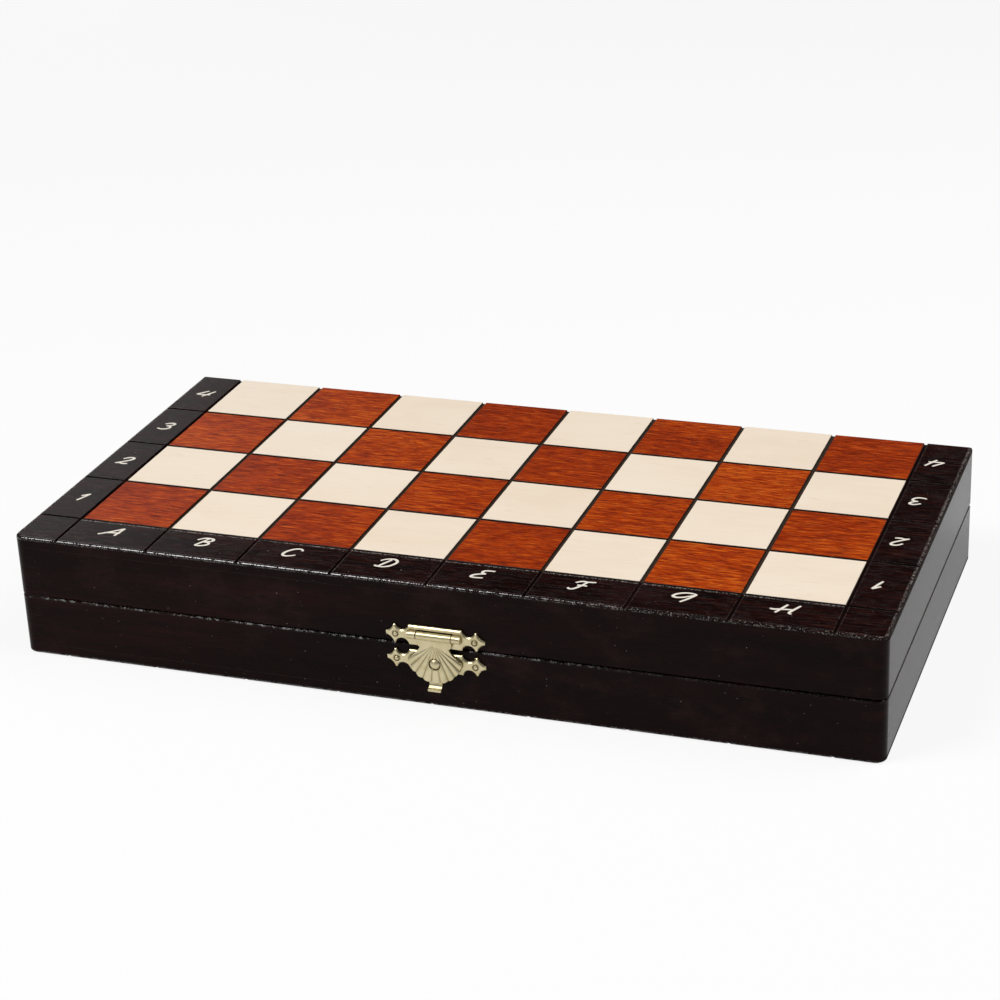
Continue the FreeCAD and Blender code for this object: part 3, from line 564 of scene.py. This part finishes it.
GLYPHS = {
    "A": [[(-0.50, 0.0), (0.0, 0.42), (0.46, 1.04)],
          [(0.46, 1.04), (0.50, 0.5), (0.56, 0.0)],
          [(-0.30, 0.26), (0.16, 0.40), (0.64, 0.38)]],
    "B": [[(0.20, 0.98), (0.10, 0.5), (-0.02, 0.0)],
          [(-0.34, 0.70), (-0.20, 1.02), (0.40, 1.06), (0.62, 0.80), (0.40, 0.58), (0.14, 0.54)],
          [(0.14, 0.54), (0.56, 0.52), (0.66, 0.22), (0.34, -0.04), (-0.02, 0.0)]],
    "C": [[(0.46, 0.76), (0.36, 1.02), (-0.10, 1.0), (-0.42, 0.46), (-0.28, -0.02), (0.14, -0.04),
           (0.42, 0.20)]],
    "D": [[(0.06, 0.98), (-0.04, 0.5), (-0.16, 0.02)],
          [(-0.46, 0.74), (-0.30, 1.04), (0.26, 1.12), (0.60, 0.72), (0.46, 0.18), (0.08, -0.04),
           (-0.16, 0.02)],
          [(-0.16, 0.02), (-0.28, 0.02), (-0.42, 0.12)]],
    "E": [[(0.50, 1.0), (0.10, 1.0), (-0.14, 0.90), (-0.10, 0.64), (0.22, 0.56)],
          [(0.22, 0.56), (-0.26, 0.48), (-0.46, 0.12), (-0.16, -0.04), (0.34, 0.06)]],
    "F": [[(0.18, 1.0), (0.08, 0.5), (-0.08, 0.04), (-0.34, -0.08), (-0.48, 0.12)],
          [(-0.42, 0.78), (-0.24, 1.06), (0.14, 0.96), (0.60, 1.06)],
          [(-0.18, 0.50), (0.10, 0.54), (0.40, 0.50)]],
    "G": [[(0.62, 0.96), (0.26, 1.12), (-0.34, 0.98), (-0.58, 0.56), (-0.24, 0.36), (0.26, 0.56),
           (0.62, 0.96)],
          [(0.62, 0.96), (0.48, 0.44), (0.22, -0.08)]],
    "H": [[(-0.12, 1.04), (-0.20, 0.5), (-0.30, -0.02)],
          [(0.58, 1.06), (0.46, 0.5), (0.36, 0.02), (0.60, 0.0)],
          [(-0.76, 0.44), (-0.66, 0.30), (-0.20, 0.46), (0.54, 0.50)]],
    "1": [[(-0.22, 0.66), (-0.04, 0.82), (0.12, 1.02)],
          [(0.12, 1.02), (0.06, 0.5), (-0.02, 0.0)]],
    "2": [[(-0.32, 0.72), (-0.18, 1.0), (0.22, 1.02), (0.32, 0.74), (0.0, 0.34), (-0.38, 0.02)],
          [(-0.38, 0.02), (-0.12, 0.14), (0.16, -0.02), (0.42, 0.08)]],
    "3": [[(-0.32, 0.82), (-0.10, 1.06), (0.30, 1.0), (0.30, 0.68), (-0.04, 0.55)],
          [(-0.04, 0.55), (0.34, 0.54), (0.40, 0.16), (0.06, -0.06), (-0.34, 0.10)]],
    "4": [[(-0.04, 1.02), (-0.22, 0.68), (-0.46, 0.36)],
          [(-0.46, 0.36), (0.0, 0.34), (0.48, 0.40)],
          [(0.42, 1.02), (0.29, 0.56), (0.12, 0.04)]],
    "5": [[(0.42, 1.0), (0.10, 0.94), (-0.16, 0.98)],
          [(-0.16, 0.98), (-0.20, 0.76), (-0.26, 0.54)],
          [(-0.26, 0.54), (0.18, 0.66), (0.34, 0.30), (0.08, -0.02), (-0.34, 0.08)]],
    "6": [[(0.34, 1.0), (-0.10, 0.84), (-0.34, 0.40), (-0.22, 0.0), (0.18, 0.0), (0.32, 0.32),
           (0.06, 0.52), (-0.26, 0.34)]],
    "7": [[(-0.34, 0.86), (-0.22, 0.98), (0.06, 0.92), (0.42, 1.0)],
          [(0.42, 1.0), (0.14, 0.52), (0.0, 0.0)]],
    "8": [[(0.30, 0.86), (0.06, 1.06), (-0.26, 0.88), (-0.10, 0.58), (0.22, 0.40), (0.20, 0.04),
           (-0.12, -0.04), (-0.30, 0.20), (-0.02, 0.50), (0.30, 0.86)]],
}


def paint_glyph(curve, glyph, centre, turned):
    """Add one sign's strokes, thinner at their ends, to a curve. A turned sign faces the other player."""
    facing = -1 if turned else 1
    for stroke in GLYPHS[glyph]:
        line = curve.splines.new("NURBS")
        line.points.add(len(stroke) - 1)
        for index, (x, y) in enumerate(stroke):
            height = y - 0.5
            across = centre.x + facing * LETTER_HEIGHT * (x + LETTER_SLANT * height)
            along = centre.y + facing * LETTER_HEIGHT * height
            fullness = math.sin(math.pi * (index + 0.5) / len(stroke))
            line.points[index].co = (across, along, 0, 1)
            line.points[index].radius = STROKE_END + (1 - STROKE_END) * fullness
        line.use_endpoint_u = True
        line.order_u = 3
        line.resolution_u = 6


def paint_coordinates(half, files, ranks, finish):
    """Letters and numbers on the border of one half, listed from its front left corner."""
    curve = bpy.data.curves.new(f"{half}_coordinates", "CURVE")
    curve.dimensions = "3D"
    curve.bevel_depth = STROKE_RADIUS
    curve.bevel_resolution = 2
    curve.use_fill_caps = True
    for column, letter in enumerate(files):
        middle = FIELD_LEFT + (column + 0.5) * SQUARE + FILE_LETTER_SHIFT
        paint_glyph(curve, letter, Vector((middle, FIELD_FRONT - FILE_LETTER_INSET)), False)
    for rank, number in enumerate(ranks):
        level = FIELD_FRONT + (rank + 0.5) * SQUARE
        paint_glyph(curve, number, Vector((LEFT + LEFT_NUMBER_INSET, level)), False)
        paint_glyph(curve, number, Vector((RIGHT - RIGHT_NUMBER_INSET, level)), True)
    piece = bpy.data.objects.new(f"{half}_coordinates", curve)
    bpy.context.scene.collection.objects.link(piece)
    choose(piece)
    bpy.ops.object.convert(target="MESH")
    piece = bpy.context.object
    piece.scale.z = PAINT_FLATNESS
    if half == "upper":
        piece.location.z = TOP
    else:
        piece.rotation_euler.y = math.pi
    settle(piece, f"{half}_coordinates", finish, f"{half}_half")
    bpy.ops.object.shade_smooth()


# Felt linings

def lay_felt(half, finish):
    """Felt sheet on the floor of a tray, a little uneven, with soft edges."""
    node = f"{half}_lining"
    low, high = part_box(node)
    size = high - low
    cells_x, cells_y = FELT_CELLS
    bpy.ops.object.select_all(action="DESELECT")
    bpy.ops.mesh.primitive_grid_add(x_subdivisions=cells_x, y_subdivisions=cells_y, size=1,
                                    location=(low + high) / 2)
    piece = bpy.context.object
    piece.scale = (size.x, size.y, 1)
    bpy.ops.object.transform_apply(location=True, rotation=True, scale=True)
    clouds = bpy.data.textures.new(f"{half}_felt_swell", "CLOUDS")
    clouds.noise_scale = FELT_SWELL_LENGTH
    swell = piece.modifiers.new("Swell", "DISPLACE")
    swell.texture = clouds
    swell.texture_coords = "LOCAL"
    swell.direction = "Z"
    swell.strength = FELT_SWELL
    swell.mid_level = 0.5
    wall = piece.modifiers.new("Thickness", "SOLIDIFY")
    wall.thickness = FELT_THICKNESS
    wall.offset = 0
    edge = piece.modifiers.new("SoftEdge", "BEVEL")
    edge.width = FELT_EDGE
    edge.segments = 2
    edge.limit_method = "ANGLE"
    for modifier in ("Swell", "Thickness", "SoftEdge"):
        bpy.ops.object.modifier_apply(modifier=modifier)
    settle(piece, f"{half}_felt", finish, f"{half}_half")
    bpy.ops.object.shade_smooth()
    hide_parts(node)


# Fasteners

SAME_LEVEL = 0.001 * MM


def select_level(mesh, level, kind):
    """In edit mode, select the faces or edges that lie at one height."""
    bpy.ops.mesh.select_mode(type=kind)
    bpy.ops.mesh.select_all(action="DESELECT")
    bpy.ops.object.mode_set(mode="OBJECT")
    for item in mesh.polygons if kind == "FACE" else mesh.edges:
        item.select = all(abs(mesh.vertices[index].co.z - level) < SAME_LEVEL for index in item.vertices)
    bpy.ops.object.mode_set(mode="EDIT")


def model_nail():
    """Round-headed nail, head up at the origin: a dome in a ring groove, its rim and the shank below."""
    bpy.ops.object.select_all(action="DESELECT")
    bpy.ops.mesh.primitive_uv_sphere_add(segments=32, ring_count=16, radius=NAIL_HEAD_RADIUS)
    nail = bpy.context.object
    bpy.ops.object.mode_set(mode="EDIT")
    bpy.ops.mesh.select_all(action="SELECT")
    bpy.ops.mesh.bisect(plane_co=(0, 0, 0), plane_no=(0, 0, 1), clear_inner=True)
    bpy.ops.mesh.select_all(action="SELECT")
    bpy.ops.transform.resize(value=(1, 1, NAIL_HEAD_HEIGHT / NAIL_HEAD_RADIUS), center_override=(0, 0, 0))
    select_level(nail.data, 0, "EDGE")
    for radius, grown, rise in NAIL_STEPS:
        bpy.ops.mesh.extrude_edges_move()
        bpy.ops.transform.resize(value=(grown / radius, grown / radius, 1), center_override=(0, 0, 0))
        bpy.ops.transform.translate(value=(0, 0, rise))
    bpy.ops.mesh.merge(type="CENTER")
    bpy.ops.mesh.select_all(action="SELECT")
    bpy.ops.mesh.normals_make_consistent(inside=False)
    bpy.ops.object.mode_set(mode="OBJECT")
    bpy.ops.object.shade_smooth_by_angle(angle=NAIL_CREASE)
    return nail


def model_screw():
    """Slotted countersunk screw, head up at the origin."""
    bpy.ops.object.select_all(action="DESELECT")
    bpy.ops.mesh.primitive_cylinder_add(vertices=40, radius=SCREW_HEAD_RADIUS, depth=SCREW_HEAD_DEPTH,
                                        location=(0, 0, -SCREW_HEAD_DEPTH / 2))
    screw = bpy.context.object
    bpy.ops.object.transform_apply(location=True, rotation=True, scale=True)
    bpy.ops.object.mode_set(mode="EDIT")
    select_level(screw.data, -SCREW_HEAD_DEPTH, "FACE")
    shrink = SCREW_SHANK_RADIUS / SCREW_HEAD_RADIUS
    bpy.ops.transform.resize(value=(shrink, shrink, 1), center_override=(0, 0, 0))
    for length in (SCREW_SHANK, SCREW_POINT):
        bpy.ops.mesh.extrude_region_move(TRANSFORM_OT_translate={"value": (0, 0, -length)})
    bpy.ops.mesh.merge(type="CENTER")
    select_level(screw.data, 0, "FACE")
    bpy.ops.mesh.bevel(offset=SCREW_HEAD_BEVEL, segments=2)
    bpy.ops.object.mode_set(mode="OBJECT")
    bpy.ops.mesh.primitive_cube_add(size=1, location=(0, 0, 0))
    cutter = bpy.context.object
    cutter.scale = (4 * SCREW_HEAD_RADIUS, SLOT_WIDTH, 2 * SLOT_DEPTH)
    choose(screw)
    slot = screw.modifiers.new("Slot", "BOOLEAN")
    slot.operation = "DIFFERENCE"
    slot.solver = "EXACT"
    slot.object = cutter
    bpy.ops.object.modifier_apply(modifier="Slot")
    bpy.data.objects.remove(cutter)
    bpy.ops.object.shade_smooth_by_angle(angle=SCREW_CREASE)
    return screw


def set_copies(master, name, places, finish, body, node):
    """Copies of a fastener, each turned and set in its place, as one piece that stands for a node."""
    copies = []
    for place in places:
        copy = master.copy()
        copy.data = master.data.copy()
        bpy.context.scene.collection.objects.link(copy)
        copy.matrix_world = place
        copies.append(copy)
    choose(*copies)
    bpy.ops.object.transform_apply(location=True, rotation=True, scale=True)
    bpy.ops.object.join()
    piece = settle(bpy.context.object, name, finish, body)
    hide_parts(node)


def set_nails(finish):
    """Two nails through each latch plate, heads to the front."""
    nail = model_nail()
    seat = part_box("lower_latch_plate")[0].y
    for half in HALVES:
        node = f"{half}_latch_nails"
        low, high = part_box(node)
        level = (low.z + high.z) / 2
        places = []
        for index, x in enumerate((low.x + NAIL_SEAT_RADIUS, high.x - NAIL_SEAT_RADIUS)):
            turn = Matrix.Rotation(NAIL_FIRST_TURN + NAIL_TURN_STEP * index, 4, "Z")
            outward = Matrix.Rotation(math.pi / 2, 4, "X")
            places.append(Matrix.Translation((x, seat, level)) @ outward @ turn)
        set_copies(nail, f"{half}_nails", places, finish, f"{half}_half", node)
    bpy.data.objects.remove(nail)


def set_screws(finish):
    """Two screws through each hinge leaf, heads to the parting plane."""
    screw = model_screw()
    for half in HALVES:
        node = f"{half}_hinge_screws"
        low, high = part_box(node)
        first = low.x + SCREW_HEAD_RADIUS
        last = high.x - SCREW_HEAD_RADIUS
        middle = (low.y + high.y) / 2
        level = high.z if half == "lower" else low.z
        flip = Matrix.Rotation(0 if half == "lower" else math.pi, 4, "Y")
        places = []
        for index, x in enumerate((first, first + SCREW_SPACING, last - SCREW_SPACING, last)):
            turn = Matrix.Rotation(SCREW_FIRST_TURN + SCREW_TURN_STEP * index, 4, "Z")
            places.append(Matrix.Translation((x, middle, level)) @ flip @ turn)
        set_copies(screw, f"{half}_screws", places, finish, f"{half}_half", node)
    bpy.data.objects.remove(screw)


# Stage, light and camera

def shown_white(paint, share):
    """1 for rays from the camera, and a share for those that come by reflection or through glass."""
    camera, glossy, transmission = [
        paint.add("LightPath", output=f"Is {name} Ray") for name in ("Camera", "Glossy", "Transmission")
    ]
    return camera.most(glossy.most(transmission) * share)


def lay_floor():
    """Pale floor that the camera and reflections see as white, with the object's shadow."""
    bpy.ops.object.select_all(action="DESELECT")
    bpy.ops.mesh.primitive_plane_add(size=FLOOR_SIZE, location=(0, 0, -FLOOR_DROP))
    floor = bpy.context.object
    floor.name = "floor"
    finish, paint = new_finish("floor_white")
    seen = shown_white(paint, FLOOR_MIRRORED)
    matte = paint.add("BsdfDiffuse", inputs={"Color": (*FLOOR_GREY, 1)})
    glow = paint.add("Emission", inputs={"Color": (*WHITE, 1), "Strength": 1.0})
    surface = paint.add("MixShader", inputs={0: seen * FLOOR_GLOW, 1: matte, 2: glow})
    paint.add("OutputMaterial", inputs={"Surface": surface})
    floor.data.materials.append(finish)


def light_world():
    """White to the camera; for the object a soft dome, paler at the horizon."""
    world = bpy.data.worlds.new("studio")
    bpy.context.scene.world = world
    world.use_nodes = True
    world.node_tree.nodes.clear()
    sky = Signal(world.node_tree)
    direction = sky.add("TexCoord", output="Generated")
    height = direction.parts()[2]
    dome = mix(height.rise(0.0, DOME_HEIGHT), HORIZON, ZENITH)
    seen = shown_white(sky, height.fall(0.0, BACKDROP_HEIGHT))
    background = sky.add("Background", inputs={"Color": mix(seen, dome, WHITE), "Strength": 1.0})
    sky.add("OutputWorld", inputs={"Surface": background})


def hang_lamp(name, place, size, power, turn):
    """Square softbox that faces the middle of the board, turned about its own axis by some degrees."""
    lamp = bpy.data.lights.new(name, "AREA")
    lamp.shape = "SQUARE"
    lamp.size = size
    lamp.energy = power
    holder = bpy.data.objects.new(name, lamp)
    bpy.context.scene.collection.objects.link(holder)
    holder.location = place
    facing = (Vector((0, 0, TOP / 2)) - Vector(place)).to_track_quat("-Z", "Y")
    holder.rotation_euler = (facing.to_matrix() @ Matrix.Rotation(math.radians(turn), 3, "Z")).to_euler()


def set_camera():
    """Camera at the photograph's angle, its axis through the middle of the frame."""
    back = Vector((math.sin(CAMERA_AZIMUTH) * math.cos(CAMERA_ELEVATION),
                   -math.cos(CAMERA_AZIMUTH) * math.cos(CAMERA_ELEVATION), math.sin(CAMERA_ELEVATION)))
    level = Vector((math.cos(CAMERA_AZIMUTH), math.sin(CAMERA_AZIMUTH), 0))
    upright = back.cross(level)
    right = math.cos(CAMERA_ROLL) * level + math.sin(CAMERA_ROLL) * upright
    up = back.cross(right)
    camera = bpy.data.cameras.new("camera")
    camera.lens = CAMERA_LENS
    camera.sensor_width = CAMERA_SENSOR
    camera.clip_start = CAMERA_CLIP
    holder = bpy.data.objects.new("camera", camera)
    bpy.context.scene.collection.objects.link(holder)
    turn = Matrix((right, up, back)).transposed().to_4x4()
    holder.matrix_world = Matrix.Translation(CAMERA_AIM + back * CAMERA_DISTANCE) @ turn
    bpy.context.scene.camera = holder


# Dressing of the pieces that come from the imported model

def dress_node(node, finish):
    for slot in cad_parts[node].material_slots:
        slot.material = finish


def dress_wood():
    """Rails, boards and squares of both halves."""
    lengthwise = stained_wood("stained_wood_lengthwise", "x")
    crosswise = stained_wood("stained_wood_crosswise", "y")
    red = red_veneer()
    pale = pale_veneer()
    for half in HALVES:
        for part in ("board", "front_rail", "rear_rail"):
            dress_node(f"{half}_{part}", lengthwise)
        for part in ("left_rail", "right_rail"):
            dress_node(f"{half}_{part}", crosswise)
        dress_node(f"{half}_dark_squares", red)
        dress_node(f"{half}_light_squares", pale)


def dress_brass(pressed, tumbled):
    """Latch and hinges in pressed brass, the stud in the duller brass of the fasteners."""
    for half in HALVES:
        dress_node(f"{half}_latch_plate", pressed)
        for side in ("left", "right"):
            dress_node(f"hinge_{side}_{half}_leaf", pressed)
    for node in ("hinge_left_pin", "hinge_right_pin", "hasp", "hasp_pin"):
        dress_node(node, pressed)
    dress_node("catch_stud", tumbled)


dress_wood()
fastener_brass = brass("brass_tumbled", 0.37)
dress_brass(brass("brass_pressed", 0.30), fastener_brass)

cream = lettering_paint()
paint_coordinates("upper", "ABCDEFGH", "1234", cream)
paint_coordinates("lower", "HGFEDCBA", "8765", cream)
green = felt()
for half in HALVES:
    lay_felt(half, green)
set_nails(fastener_brass)
set_screws(fastener_brass)

lay_floor()
light_world()
for name, (place, size, power, turn) in LAMPS.items():
    hang_lamp(name, place, size, power, turn)
set_camera()
bpy.context.scene.view_settings.view_transform = "Standard"
